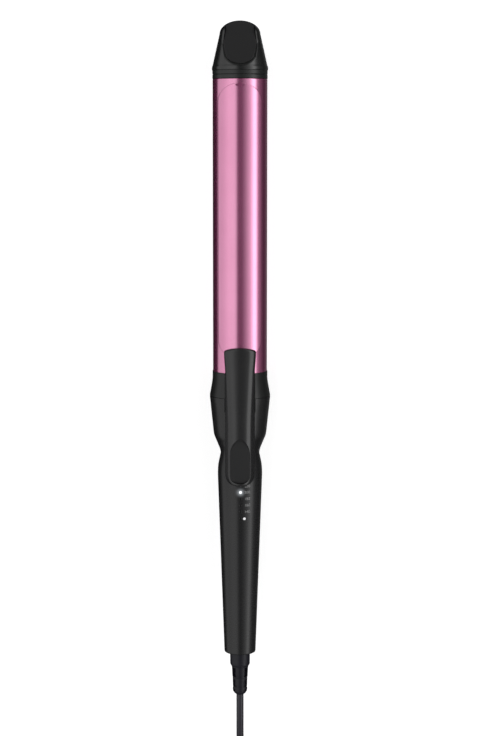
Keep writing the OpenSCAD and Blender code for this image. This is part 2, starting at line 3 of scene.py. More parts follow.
import bmesh
import bpy
import numpy as np
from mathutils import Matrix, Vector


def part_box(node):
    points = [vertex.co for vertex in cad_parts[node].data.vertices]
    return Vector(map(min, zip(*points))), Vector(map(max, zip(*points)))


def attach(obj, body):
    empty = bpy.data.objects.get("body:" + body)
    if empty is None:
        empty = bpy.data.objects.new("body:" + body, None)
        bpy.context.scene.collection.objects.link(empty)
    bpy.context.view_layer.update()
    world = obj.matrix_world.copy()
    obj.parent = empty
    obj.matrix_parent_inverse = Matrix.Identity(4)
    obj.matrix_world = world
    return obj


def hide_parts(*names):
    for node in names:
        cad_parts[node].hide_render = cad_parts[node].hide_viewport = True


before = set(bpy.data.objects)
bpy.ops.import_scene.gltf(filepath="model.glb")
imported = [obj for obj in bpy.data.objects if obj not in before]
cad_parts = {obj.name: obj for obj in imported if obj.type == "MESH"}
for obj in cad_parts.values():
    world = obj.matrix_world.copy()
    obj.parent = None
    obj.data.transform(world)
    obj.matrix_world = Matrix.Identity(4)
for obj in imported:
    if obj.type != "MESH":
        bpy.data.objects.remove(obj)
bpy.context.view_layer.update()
MM = 0.001
scene = bpy.context.scene


def box(node):
    """Lowest and highest corner of a CAD node, in millimetres."""
    low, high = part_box(node)
    return np.array(low) / MM, np.array(high) / MM


def middle(node):
    low, high = box(node)
    return (low + high) / 2


# ---------------------------------------------------------------- sizes
BARREL_LOW, BARREL_HIGH = box("barrel_tube")
BARREL_R = (BARREL_HIGH[0] - BARREL_LOW[0]) / 2
AXIS_H = (BARREL_HIGH[2] + BARREL_LOW[2]) / 2
TIP_LOW_Y = box("cool_tip")[0][1]
RIM_R, TIP_END_Y, _ = box("cool_tip")[1]
SHOULDER_R, FERRULE_Y, _ = box("ferrule")[1]
HANDLE_END_Y, SEAM_Y = [corner[1] for corner in box("handle_lower_shell")]
CLIP_BACK_Y, CLIP_T = box("clip_blade")[0][1], 0.7
CLIP_HALF_W, CLIP_END_Y, CLIP_OUT_R = box("clip_blade")[1] - (0, 0, AXIS_H)
LEVER_BACK_Y, LEVER_SLOPE = box("lever")[0][1], 0.071
_, LEVER_FRONT_Y, LEVER_TOP_H = box("lever")[1] - (0, 0, AXIS_H)
LEVER_HALF_W, LEVER_FRONT_HALF_W = 8.75, 9.38
LEVER_FRONT_LEN, LEVER_BACK_LEN = 2.6, 8
EAR_TOP_H, HINGE_ROOF_H = 16.95, 16.8
CLIP_SEAT_Y = -9.1
LEVER_OPEN = math.radians(9)
_, PIN_Y, PIN_H = middle("pivot_pin") - (0, 0, AXIS_H)
HINGE_BACK_Y = PIN_Y - 2.5
RELIEF_END_Y = box("strain_relief")[0][1]
CORD_R = 2.2

# Handle
CHANNEL_BACK_Y = -26.4
CHANNEL_FLOOR_H = 5
GRIP_R, GRIP_Y = 13.3, -66
HANDLE_END_R = 9.45
END_ROUND = 0.9
SCREW_YS = -114, -142
LAMP_X, LAMP_Y, LAMP_PITCH, LAMP_R = 0.3, -74.6, 3.93, 0.75
KEY_ANGLE = math.radians(125)


# ---------------------------------------------------------------- camera
def make_camera():
    """Looks down on the wand from about a metre, a little from the tip's side."""
    distance = 1.0628
    tilt = math.radians(7.307)
    aim_y = -1.72 * MM
    frame_height = 0.4384
    data = bpy.data.cameras.new("camera")
    data.sensor_width = 36
    data.lens = data.sensor_width * distance / frame_height
    data.clip_end = 20
    camera = bpy.data.objects.new("camera", data)
    camera.location = (0, aim_y + distance * math.sin(tilt), AXIS_H * MM + distance * math.cos(tilt))
    camera.rotation_euler = (-tilt, 0, 0)
    scene.collection.objects.link(camera)
    scene.camera = camera


make_camera()


# ---------------------------------------------------------------- outlines
def mix(a, b, t):
    return a + (b - a) * t


def ease(t):
    """Smooth step from 0 to 1."""
    t = min(1.0, max(0.0, t))
    return t * t * (3 - 2 * t)


def bend(p, c, q, n):
    """Curved stretch after p that leaves it towards c and arrives at q."""
    p, c, q = map(np.array, (p, c, q))
    return [tuple(mix(mix(p, c, i / n), mix(c, q, i / n), i / n)) for i in range(1, n + 1)]


def arc(centre, rx, ry, start, end, n):
    """Points on an ellipse about centre, from one angle to another in degrees."""
    angles = np.radians(np.linspace(start, end, n + 1))
    return [(centre[0] + rx * math.cos(a), centre[1] + ry * math.sin(a)) for a in angles]


def rounded(corners, n):
    """Closed outline with each corner (x, y, radius) drawn as a curve of n + 1 points."""
    outline = []
    for i, (x, y, radius) in enumerate(corners):
        here = np.array((x, y), float)
        sides = []
        for other in (corners[i - 1], corners[(i + 1) % len(corners)]):
            way = np.array(other[:2], float) - here
            length = np.linalg.norm(way) or 1e-9
            sides.append((way / length, length))
        (a, room_a), (b, room_b) = sides
        half = math.acos(max(-0.9999, min(0.9999, a @ b))) / 2
        cut = min(radius / math.tan(half), 0.49 * room_a, 0.49 * room_b)
        start, end = here + a * cut, here + b * cut
        for k in range(n + 1):
            t = k / n
            weight = 2 * t * (1 - t) * math.sin(half)
            total = (1 - t) ** 2 + weight + t * t
            outline.append(((1 - t) ** 2 * start + weight * here + t * t * end) / total)
    return [tuple(p) for p in outline]


def radius_on(outline, y):
    """Radius at y on an outline of (radius, y)."""
    line = sorted((b, a) for a, b in outline)
    return float(np.interp(y, [b for b, _ in line], [a for _, a in line]))


def grip_radius(y):
    """Radius of the handle on its straight taper."""
    return mix(GRIP_R, HANDLE_END_R, (y - GRIP_Y) / (HANDLE_END_Y + END_ROUND - GRIP_Y))


HANDLE_LINE = (
    [(SHOULDER_R - 0.35, SEAM_Y), (SHOULDER_R - 0.08, SEAM_Y - 0.12), (SHOULDER_R, SEAM_Y - 0.45)]
    + [(mix(SHOULDER_R, 15.85, t), mix(SEAM_Y - 0.45, -39.2, t)) for t in (0.25, 0.5, 0.75, 1)]
    + bend((15.85, -39.2), (15.5, -42.2), (14.5, -44), 8)
    + [(13.6, -46.2), (12.7, -48.4)]
    + bend((12.7, -48.4), (11.2, -51.7), (11.8, -53.7), 14)
    + [(12.3, -56.05), (12.8, -58.4)]
    + bend((12.8, -58.4), (GRIP_R, -61.1), (GRIP_R, GRIP_Y), 10)
    + [(grip_radius(y), y) for y in np.linspace(GRIP_Y, HANDLE_END_Y + END_ROUND, 24)[1:-1]]
    + arc((HANDLE_END_R - END_ROUND, HANDLE_END_Y + END_ROUND), END_ROUND, END_ROUND, 0, -90, 8)
)


# ---------------------------------------------------------------- meshes
def closed_faces(rings, wrap=True, cap=True):
    """Quads between index rings of equal length, and a face on each open end."""
    faces = []
    n = len(rings[0])
    for a, b in zip(rings, rings[1:]):
        for j in range(n if wrap else n - 1):
            k = (j + 1) % n
            corners = []
            for v in (a[j], b[j], b[k], a[k]):
                if v not in corners:
                    corners.append(v)
            if len(corners) > 2:
                faces.append(corners)
    if cap:
        faces += [list(r) for r in (rings[0], rings[-1]) if len(set(r)) > 2]
    return faces


def lofted(sections, cap=True):
    """Solid through closed sections of equal length, each a list of (x, y, h)."""
    n = len(sections[0])
    points = [p for section in sections for p in section]
    rings = [[i * n + j for j in range(n)] for i in range(len(sections))]
    return points, closed_faces(rings, cap=cap)


def turned(line, around, start=0, end=360):
    """An outline of (radius, y) turned about the wand's axis; angle 0 is straight up."""
    whole = abs(end - start) >= 360
    steps = around if whole else around + 1
    angles = np.radians(np.linspace(start, end, around + 1))[:steps]
    points, rings = [], []
    for r, y in line:
        if r < 1e-6:
            rings.append([len(points)] * steps)
            points.append((0, y, 0))
        else:
            rings.append([len(points) + j for j in range(steps)])
            points += [(r * math.sin(a), y, r * math.cos(a)) for a in angles]
    rings.append(rings[0])
    faces = closed_faces(rings, wrap=whole, cap=False)
    if not whole:
        for j in (0, -1):
            seen = []
            for ring in rings[:-1]:
                if ring[j] not in seen:
                    seen.append(ring[j])
            faces.append(seen)
    return points, faces


def new_object(name, points, faces, lift=AXIS_H, sharp=35):
    """A mesh object from millimetre points, shaded smooth but for its sharp edges."""
    mesh = bpy.data.meshes.new(name)
    mesh.from_pydata([(x * MM, y * MM, (h + lift) * MM) for x, y, h in points], [], faces)
    tidy_mesh(mesh, sharp)
    obj = bpy.data.objects.new(name, mesh)
    scene.collection.objects.link(obj)
    return obj


def tidy_mesh(mesh, sharp):
    work = bmesh.new()
    work.from_mesh(mesh)
    bmesh.ops.remove_doubles(work, verts=work.verts, dist=1e-7)
    bmesh.ops.recalc_face_normals(work, faces=work.faces)
    work.to_mesh(mesh)
    work.free()
    for polygon in mesh.polygons:
        polygon.use_smooth = True
    mesh.set_sharp_from_angle(angle=math.radians(sharp))


def joined(*solids):
    """Several (points, faces) solids as one."""
    points, faces = [], []
    for more_points, more_faces in solids:
        faces += [[i + len(points) for i in face] for face in more_faces]
        points += list(more_points)
    return points, faces


def finished_mesh(obj):
    """Applies an object's modifiers to its mesh."""
    bpy.context.view_layer.update()
    shown = obj.evaluated_get(bpy.context.evaluated_depsgraph_get())
    mesh = bpy.data.meshes.new_from_object(shown)
    obj.modifiers.clear()
    obj.data = mesh


def carve(obj, solids, lift=AXIS_H, sharp=35):
    """Cuts solids out of an object."""
    for solid in solids:
        tool = new_object("tool", *solid, lift=lift)
        cut = obj.modifiers.new("cut", "BOOLEAN")
        cut.object = tool
        cut.operation = "DIFFERENCE"
        cut.solver = "EXACT"
        finished_mesh(obj)
        bpy.data.objects.remove(tool)
    tidy_mesh(obj.data, sharp)


def soften(obj, width, angle=40):
    """Rounds an object's sharp edges."""
    edge = obj.modifiers.new("edge", "BEVEL")
    edge.width = width * MM
    edge.segments = 2
    edge.limit_method = "ANGLE"
    edge.angle_limit = math.radians(angle)
    edge.harden_normals = True
    edge.use_clamp_overlap = True


def prism(outline, low, high):
    """Solid over a plan outline of (x, y) between two heights."""
    return lofted([[(x, y, low) for x, y in outline], [(x, y, high) for x, y in outline]])


def oblong(x, y, half_x, half_y):
    """Outline of a rectangle about a point."""
    return [(x - half_x, y - half_y), (x + half_x, y - half_y),
            (x + half_x, y + half_y), (x - half_x, y + half_y)]


def side_prism(outline, low, high):
    """Solid over an outline of (x, h) between two positions along the wand."""
    return lofted([[(x, low, h) for x, h in outline], [(x, high, h) for x, h in outline]])


def distance_to(p, starts, ends):
    """Shortest distance from a point to the straight stretches of an outline."""
    way = ends - starts
    t = np.clip(((p - starts) * way).sum(1) / np.maximum((way * way).sum(1), 1e-12), 0, 1)
    return np.linalg.norm(p - starts - t[:, None] * way, axis=1).min()


def plate(half_line, top, bottom, rows_across):
    """Solid over a plan that is symmetrical about x = 0.
    half_line runs down its right side as (half-width, y); top and bottom give the
    height at (x, y, distance to the edge)."""
    edge = np.array([(w, y) for w, y in half_line] + [(-w, y) for w, y in reversed(half_line)])
    ends = np.roll(edge, -1, axis=0)
    across = np.sin(np.linspace(-math.pi / 2, math.pi / 2, rows_across + 1))
    upper, lower = [], []
    for w, y in half_line:
        row = [(u * w, y, distance_to(np.array((u * w, y)), edge, ends)) for u in across]
        upper.append([(x, y, top(x, y, d)) for x, y, d in row])
        lower.append([(x, y, bottom(x, y, d)) for x, y, d in reversed(row)])
    return lofted([a + b for a, b in zip(upper, lower)])


def edge_drop(d, radius):
    """How far a top falls at distance d from an edge rounded to that radius."""
    if d >= radius:
        return 0.0
    return radius - math.sqrt(radius * radius - (radius - d) ** 2)


def smooth_route(points, step):
    """Points step apart on a smooth curve through the given ones."""
    points = np.array(points, float)
    padded = np.vstack([2 * points[0] - points[1], points, 2 * points[-1] - points[-2]])
    route = []
    for i in range(len(points) - 1):
        a, b, c, d = padded[i:i + 4]
        n = max(1, round(np.linalg.norm(c - b) / step))
        for k in range(n):
            t = k / n
            route.append(0.5 * (2 * b + (c - a) * t + (2 * a - 5 * b + 4 * c - d) * t ** 2
                                + (3 * b - a - 3 * c + d) * t ** 3))
    return np.vstack([route, points[-1]])


# ---------------------------------------------------------------- materials
def linear(red, green, blue):
    """Scene colour of a screen colour given from 0 to 255."""
    return [
        v / 12.92 if v <= 0.04045 else ((v + 0.055) / 1.055) ** 2.4
        for v in (red / 255, green / 255, blue / 255)
    ] + [1.0]


class Nodes:
    """Short way to build a node tree."""

    def __init__(self, tree):
        self.tree = tree
        tree.nodes.clear()

    def add(self, kind, inputs=None, **settings):
        node = self.tree.nodes.new(kind)
        for key, value in settings.items():
            setattr(node, key, value)
        for key, value in (inputs or {}).items():
            if isinstance(value, bpy.types.NodeSocket):
                self.tree.links.new(value, node.inputs[key])
            else:
                node.inputs[key].default_value = value
        return node

    def math(self, operation, a, b=0.0):
        return self.add("ShaderNodeMath", {0: a, 1: b}, operation=operation).outputs[0]

    def noise(self, where, scale, detail=3.0, roughness=0.55):
        return self.add("ShaderNodeTexNoise", {
            "Vector": where, "Scale": scale, "Detail": detail, "Roughness": roughness,
        }).outputs["Fac"]

    def between(self, value, low, high, from_low=0.3, from_high=0.7):
        return self.add("ShaderNodeMapRange", {
            "Value": value, "From Min": from_low, "From Max": from_high, "To Min": low, "To Max": high,
        }).outputs[0]

    def bump(self, height, distance, strength=1.0):
        return self.add("ShaderNodeBump", {
            "Height": height, "Strength": strength, "Distance": distance * MM}).outputs[0]

    def blend(self, factor, a, b):
        return self.add("ShaderNodeMix", {"Factor": factor, 6: a, 7: b}, data_type="RGBA").outputs[2]

    def show(self, shader):
        self.add("ShaderNodeOutputMaterial", {"Surface": shader.outputs[0]})


def new_material(name):
    """An empty material with its nodes and the place on the object that they vary by."""
    made = bpy.data.materials.new(name)
    made.use_nodes = True
    n = Nodes(made.node_tree)
    return made, n, n.add("ShaderNodeTexCoord").outputs["Object"]


def shaded(colour, share):
    """A colour made darker or brighter by a share."""
    return [min(1.0, c * share) for c in colour[:3]] + [1.0]


def material(name, colour, roughness, grain=0.0, grain_size=0.4, extra=None, **sockets):
    """Procedural material: colour and roughness vary a little, and grain is a fine bump."""
    spread, rough_spread = 0.08, 0.04
    made, n, where = new_material(name)
    cloud = n.noise(where, 45.0)
    fine = n.noise(where, 1 / (grain_size * MM), 4.0, 0.6)
    base = n.blend(n.between(cloud, 0, 1), shaded(colour, 1 - spread), shaded(colour, 1 + spread))
    inputs = {
        "Base Color": base,
        "Roughness": n.between(fine, roughness - rough_spread, roughness + rough_spread),
    }
    if grain:
        inputs["Normal"] = n.bump(fine, grain)
    if extra:
        inputs.update(extra(n, where, fine))
    inputs.update(sockets)
    n.show(n.add("ShaderNodeBsdfPrincipled", inputs))
    return made


def brushed(scale_across, depth):
    """Fine lines along y, for metal drawn or ground that way."""
    def lines(n, where, _):
        scale = (scale_across, 60.0, scale_across)
        squeezed = n.add("ShaderNodeMapping", {"Vector": where, "Scale": scale}).outputs[0]
        streaks = n.noise(squeezed, 1.0, 4.0, 0.65)
        return {"Normal": n.bump(streaks, depth)}
    return lines


def pink_coat():
    """Metallic paint: a clear, mirror-like top over coloured flakes that lie at all angles."""
    made, n, where = new_material("pink_coat")
    cells = n.add("ShaderNodeTexVoronoi", {"Vector": where, "Scale": 6500.0}).outputs["Color"]
    flake = n.add("ShaderNodeSeparateColor", {0: cells}).outputs[0]
    cloud = n.noise(where, 40.0)
    peel = n.noise(where, 420.0, 2.0, 0.4)
    smooth = n.bump(peel, 0.0006)
    rough = n.bump(flake, 0.02, 0.4)
    mirror = n.add("ShaderNodeBsdfPrincipled", {
        "Base Color": n.blend(n.between(cloud, 0, 1), (0.80, 0.395, 0.565, 1), (0.85, 0.425, 0.605, 1)),
        "Roughness": n.between(cloud, 0.1, 0.125), "Metallic": 1.0, "Normal": smooth,
        "Coat Weight": 0.3, "Coat Roughness": 0.03})
    body = n.add("ShaderNodeBsdfPrincipled", {
        "Base Color": n.blend(flake, (0.9, 0.06, 0.38, 1), (1, 0.16, 0.55, 1)),
        "Roughness": 0.5, "Metallic": 1.0, "Normal": rough})
    both = n.add("ShaderNodeMixShader", {0: 0.2, 1: mirror.outputs[0], 2: body.outputs[0]})
    n.show(both)
    return made


M = {
    "pink": pink_coat(),
    "tip": material("tip_plastic", linear(29, 30, 30), 0.2, 0.004, 0.35, **{"Specular IOR Level": 0.72}),
    "ring": material("ring_plastic", linear(34, 36, 36), 0.3, 0.005, 0.3),
    "ferrule": material("ferrule_plastic", linear(30, 31, 31), 0.32, 0.005, 0.3),
    "lever": material("lever_plastic", linear(38, 38, 39), 0.25, 0.004, 0.3,
                      **{"Specular IOR Level": 0.62}),
    "pad": material("soft_pad", linear(27, 27, 28), 0.6, 0.02, 0.22),
    "steel": material("steel", (0.56, 0.56, 0.57, 1), 0.28, extra=brushed(3500, 0.004), Metallic=1.0),
    "spring": material("spring_steel", (0.42, 0.42, 0.43, 1), 0.3, 0.004, 0.2, Metallic=1.0),
    "nickel": material("nickel_wire", (0.62, 0.62, 0.62, 1), 0.12, 0.002, 0.4, Metallic=1.0),
    "aluminium": material("aluminium", (0.72, 0.72, 0.74, 1), 0.35, extra=brushed(2500, 0.008),
                          Metallic=1.0),
    "ceramic": material("heater_ceramic", (0.82, 0.79, 0.73, 1), 0.6, 0.02, 0.3),
    "bead": material("sensor_bead", (0.42, 0.11, 0.06, 1), 0.12, 0.002, 0.4),
    "sleeve": material("lead_sleeve", (0.68, 0.65, 0.58, 1), 0.75, 0.05, 0.5),
    "carrier": material("carrier_plastic", (0.075, 0.066, 0.058, 1), 0.5, 0.015, 0.5),
    "board": material("board_green", (0.012, 0.11, 0.055, 1), 0.25, 0.004, 1.2),
    "part": material("part_plastic", (0.03, 0.03, 0.032, 1), 0.45, 0.01, 0.4),
    "brass": material("brass", (0.78, 0.58, 0.26, 1), 0.2, 0.003, 0.3, Metallic=1.0),
    "key": material("key_plastic", linear(50, 50, 52), 0.2, 0.003, 0.3),
    "relief": material("relief_rubber", linear(24, 23, 33), 0.42, 0.012, 0.3,
                       **{"Specular IOR Level": 0.38}),
    "cord": material("cord_sheath", linear(46, 44, 52), 0.36, 0.01, 0.35),
    "plug": material("plug_rubber", linear(38, 37, 42), 0.4, 0.01, 0.3),
    "pin": material("pin_metal", (0.72, 0.70, 0.64, 1), 0.16, extra=brushed(3000, 0.002), Metallic=1.0),
}


def weave(n, where, fine):
    """Hook-and-loop strap: ribs across the strap and fuzz between them."""
    ribs, cross = [
        n.add("ShaderNodeTexWave",
              {"Vector": where, "Scale": scale, "Distortion": distortion, "Detail": 2.0},
              bands_direction=way).outputs["Fac"]
        for way, scale, distortion in (("X", 520.0, 1.5), ("Y", 420.0, 1.0))
    ]
    cloth = n.math("MULTIPLY", ribs, cross)
    return {
        "Base Color": n.blend(cloth, linear(20, 20, 22), linear(48, 48, 52)),
        "Normal": n.bump(n.math("ADD", cloth, fine), 0.12),
    }


def lamp_glow(n, where, _):
    """Light of the lit lamp on the plastic round it."""
    place = n.add("ShaderNodeVectorMath", {0: where, 1: LIT_LAMP}, operation="DISTANCE").outputs["Value"]
    near = n.add("ShaderNodeMapRange", {"Value": place, "From Min": 0.7 * MM, "From Max": 4.6 * MM,
                                        "To Min": 1.0, "To Max": 0.0}).outputs[0]
    glow = n.math("MULTIPLY", n.math("POWER", near, 3.4), 0.4)
    return {"Emission Color": (0.9, 0.95, 1, 1), "Emission Strength": glow}


LIT_LAMP = (LAMP_X * MM, LAMP_Y * MM, (AXIS_H + grip_radius(LAMP_Y)) * MM)
M["handle"] = material("handle_plastic", linear(32, 32, 33), 0.27, 0.005, 0.28, extra=lamp_glow)
M["strap"] = material("tie_fabric", linear(30, 30, 32), 0.85, extra=weave, **{"Sheen Weight": 0.4})
M["print"] = material("print_white", linear(165, 165, 165), 0.5, 0.004, 0.2)
# The dot is real print, but its emission is a painted glow that makes it brighter than print under the
# lights.
M["dot"] = material("print_dot_painted_glow", linear(250, 250, 252), 0.5, 0.004, 0.2,
                    **{"Emission Color": (1, 1, 1, 1), "Emission Strength": 0.35})
M["lens"] = material("lamp_lens", linear(16, 16, 17), 0.12, 0.001, 0.3, **{"Coat Weight": 0.3})
M["lit"] = material("lamp_lit", (0.95, 0.97, 1.0, 1), 0.3, 0.001, 0.3,
                    **{"Emission Color": (0.93, 0.97, 1.0, 1), "Emission Strength": 1.1})


def piece(obj, look, body, stands_for=()):
    """Gives a new piece its material and body, and hides the CAD nodes it stands for."""
    obj.data.materials.clear()
    obj.data.materials.append(M[look])
    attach(obj, body)
    if stands_for:
        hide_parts(*stands_for)
    return obj


# ---------------------------------------------------------------- cord, plug and tie
HANK_Y, HANK_RUN, TURN_R = -318, 70, 13.2
CORD_D = 2 * CORD_R
LEAD_ROUTE = [(0, -201.9, 18), (0, -209.5, 18), (0, -215.5, 17.6), (0, -221, 16.4),
              (0, -226.5, 14.6), (0.2, -232, 12.3), (1.5, -237.5, 9.7), (4.1, -243, 7.2),
              (7.6, -248.6, 5.1), (11.7, -254, 3.6), (15.8, -259.3, 2.7), (19.6, -265, 2.3),
              (22.9, -270.8, 2.2), (25.4, -277, 2.2), (26.4, -283.5, 2.2)]
RISE_ROUTE = [(4.6, -261.1, 6.8), (9.8, -262.9, 7.4), (14.5, -266, 8.3), (18.6, -270.8, 9.6)]
TAIL_ROUTE = [(21.3, -277.3, 11.05), (22, -283, 11.4), (21.5, -287.6, 11.8), (19.9, -292.3, 12.3),
              (17.8, -296.8, 12.85), (15.7, -301.3, 13.4), (13.6, -305.9, 13.95),
              (11.6, -312.1, 14.7), (10.8, -318.6, 15.25), (10.8, -324, 15.55), (10.8, -330, 15.65)]
LOWER_TURNS, ALL_TURNS = 4, 5.87
TIE_W, TIE_LIFT, LIFT_RUN = 7, 1, 14


def hank_point(turn):
    """Point of the hank after that many turns: down the right side, up the left.
    The turns lie beside each other, winding inwards, then on top, winding outwards."""
    whole, part = int(turn), ease(turn % 1)
    inward = whole + 1 - math.sqrt(1 - part ** 2)
    outward = whole + math.sqrt(1 - (1 - part) ** 2) - LOWER_TURNS
    steps = LOWER_TURNS - 1 - min(inward, LOWER_TURNS - 1) + max(0.0, outward)
    radius = TURN_R + CORD_D * steps
    climb = 0 if whole < LOWER_TURNS - 1 else 1 if whole >= LOWER_TURNS else part
    layer = CORD_R + CORD_D * climb
    round_end = math.pi * radius
    along = (turn % 1) * 2 * (HANK_RUN + round_end)
    if along < HANK_RUN:
        x, y = radius, HANK_RUN / 2 - along
    elif along < HANK_RUN + round_end:
        a = (along - HANK_RUN) / radius
        return radius * math.cos(a), HANK_Y - HANK_RUN / 2 - radius * math.sin(a), layer
    elif along < 2 * HANK_RUN + round_end:
        x, y = -radius, along - HANK_RUN - round_end - HANK_RUN / 2
    else:
        a = (along - 2 * HANK_RUN - round_end) / radius
        return -radius * math.cos(a), HANK_Y + HANK_RUN / 2 + radius * math.sin(a), layer
    far = (1 - math.cos(math.pi * min(1, abs(y) / (HANK_RUN / 2)))) / 2
    drawn_in = mix(radius - TURN_R + CORD_R, radius, far)
    lift = TIE_LIFT * (1 - ease((abs(y) - TIE_W / 2) / LIFT_RUN))
    return math.copysign(drawn_in, x), HANK_Y + y, layer + lift


def make_cord():
    turns = [hank_point(t) for t in np.arange(0.02, ALL_TURNS, 1 / 60)]
    route = smooth_route(LEAD_ROUTE + turns + RISE_ROUTE + TAIL_ROUTE, 2.5)
    curve = bpy.data.curves.new("mains_cord", "CURVE")
    curve.dimensions = "3D"
    curve.bevel_depth = CORD_R * MM
    curve.bevel_resolution = 5
    curve.use_fill_caps = True
    line = curve.splines.new("POLY")
    line.points.add(len(route) - 1)
    for point, (x, y, z) in zip(line.points, route):
        point.co = (x * MM, y * MM, z * MM, 1)
    line.use_smooth = True
    obj = bpy.data.objects.new("mains_cord", curve)
    scene.collection.objects.link(obj)
    piece(obj, "cord", "root", ("cord_lead", "cord_hank", "cord_tail"))
    length = np.linalg.norm(np.diff(route, axis=0), axis=1).sum() * MM
    return obj, length


def make_plug():
    """Flat two-pin plug: a neck with finger grooves that widens to a round-ended face.
    It is drawn with y counted from its cord end towards its pins."""
    low, high = box("plug_body")
    pins_low, pins_high = box("plug_pins")
    middle_x, _, middle_h = middle("plug_body")
    full_w, full_h, length = (high[0] - low[0]) / 2, (high[2] - low[2]) / 2, high[1] - low[1]
    pin_r, pin_end = (pins_high[2] - pins_low[2]) / 2, length + pins_high[1] - pins_low[1]
    pin_x = (pins_high[0] - pins_low[0]) / 2 - pin_r

    def placed(solid, x=0.0):
        points, faces = solid
        return [(middle_x - px - x, high[1] - py, ph) for px, py, ph in points], faces

    stations = [(0.0, 2.6, 2.6), (0.4, 3.3, 3.3), (1.4, 3.7, 3.6), (5, 4.0, 4.0), (8, 4.4, 4.6),
                (11, 5.2, 5.3), (14, 7.0, 5.9), (16.5, 9.2, 6.3), (18.5, 10.8, 6.6),
                (20.5, 12.0, 6.75), (23, 12.9, full_h), (27, full_w, full_h),
                (length - 1.1, full_w, full_h), (length - 0.4, full_w - 0.2, full_h - 0.2),
                (length, full_w - 0.8, full_h - 0.8)]
    sections = []
    for y, w, h in stations:
        corner = min(w, h) * 0.98
        outline = rounded([(w, h, corner), (-w, h, corner), (-w, -h, corner), (w, -h, corner)], 12)
        sections.append([(x, y, z) for x, z in outline])
    grip = new_object("plug", *placed(lofted(sections)), lift=middle_h, sharp=50)
    grooves = [placed(prism(oblong(x, y, 2.65, 0.5), -8, 8)) for y in (6, 8.6, 11.2) for x in (-6.35, 6.35)]
    carve(grip, grooves, lift=middle_h, sharp=50)
    piece(grip, "plug", "root", ("plug_body",))

    sleeve_end = length + 10
    metal = [(0, sleeve_end - 1), (pin_r, sleeve_end - 1), (pin_r, pin_end - 1.4)]
    metal += arc((pin_r - 1.4, pin_end - 1.4), 1.4, 1.4, 0, 90, 6) + [(0, pin_end)]
    sleeve = [(0, length - 0.5), (pin_r, length - 0.5), (pin_r, sleeve_end - 0.2),
              (pin_r - 0.15, sleeve_end), (0, sleeve_end)]

    def pair(line):
        return joined(*[placed(turned(line, 32), x) for x in (-pin_x, pin_x)])

    pins = new_object("plug_pin_metal", *pair(metal), lift=middle_h)
    collars = new_object("plug_pin_sleeves", *pair(sleeve), lift=middle_h)
    piece(pins, "pin", "root", ("plug_pins",))
    piece(collars, "plug", "root", ("plug_pins",))
    return grip, pins, collars


def make_tie():
    """Closed strap round the hank's waist."""
    half_w, _, top = box("cord_tie")[1]
    thick = 1.0

    def band(outset):
        """Section of the strap's inside, moved out."""
        r = 2.2 + outset
        w, low_r = half_w - thick + outset, 1.2 + outset
        ceiling, floor = top - thick + outset, thick - outset
        return rounded([(w, floor, low_r), (w, ceiling, r), (-w, ceiling, r), (-w, floor, low_r)], 10)

    inner, outer = band(0.0), band(0.92)
    back, front = HANK_Y - TIE_W / 2 + 0.1, HANK_Y + TIE_W / 2 - 0.1
    sections = []
    for a, b in zip(inner + inner[:1], outer + outer[:1]):
        sections.append([(a[0], back, a[1]), (b[0], back, b[1]), (b[0], front, b[1]), (a[0], front, a[1])])
    strap = new_object("tie_strap", *lofted(sections, cap=False), lift=0, sharp=50)
    soften(strap, 0.25)
    return piece(strap, "strap", "root", ("cord_tie",))


cord, cord_length = make_cord()
plug_pieces = make_plug()
tie = make_tie()


# ---------------------------------------------------------------- barrel and clip
def make_barrel():
    r, wall, chamfer, rim = BARREL_R, 1, 0.12, 0.6
    back, front = BARREL_LOW[1], BARREL_HIGH[1]
    line = [(r - chamfer, back), (r, back + chamfer)] + arc((r - rim, front - rim), rim, rim, 0, 90, 8)
    line += [(r - wall, front), (r - wall, back)]
    obj = new_object("barrel", *turned(line, 256))
    piece(obj, "pink", "root", ("barrel_tube",))


def clip_half_line():
    """Right side of the clip's plan, from the round end near the tip to the tongue."""
    end_len, corner_r, shoulder_y, tongue = 10.5, 9.5, 16.3, 7.5
    line = arc((0, CLIP_END_Y - end_len), CLIP_HALF_W, end_len, 89.3, 0, 90)
    line += [(CLIP_HALF_W, y) for y in np.linspace(CLIP_END_Y - end_len, shoulder_y, 40)[1:-1]]
    line += arc((CLIP_HALF_W - corner_r, shoulder_y), corner_r, corner_r, 0, -60, 14)
    line += [(tongue, 6.5), (tongue, 0.5), (tongue, CLIP_BACK_Y)]
    return line


def make_clip():
    """Curved sheet with rounded edges and a shallow dimple near its round end."""
    edge = 0.3
    dimple_y, dimple_half_w, dimple_half_len, dimple_depth = CLIP_END_Y - 1.15, 2.7, 0.75, 0.22

    def top(x, y, d):
        height = math.sqrt(CLIP_OUT_R ** 2 - x * x) - edge_drop(d, edge)
        inside = 1 - (x / dimple_half_w) ** 2 - ((y - dimple_y) / dimple_half_len) ** 2
        return mix(height, min(height, CLIP_OUT_R - dimple_depth), ease(2.5 * inside))

    def bottom(x, y, d):
        return math.sqrt((CLIP_OUT_R - CLIP_T) ** 2 - x * x) + edge_drop(d, edge)

    obj = new_object("clip", *plate(clip_half_line(), top, bottom, 64), sharp=50)
    piece(obj, "pink", "clip", ("clip_blade",))


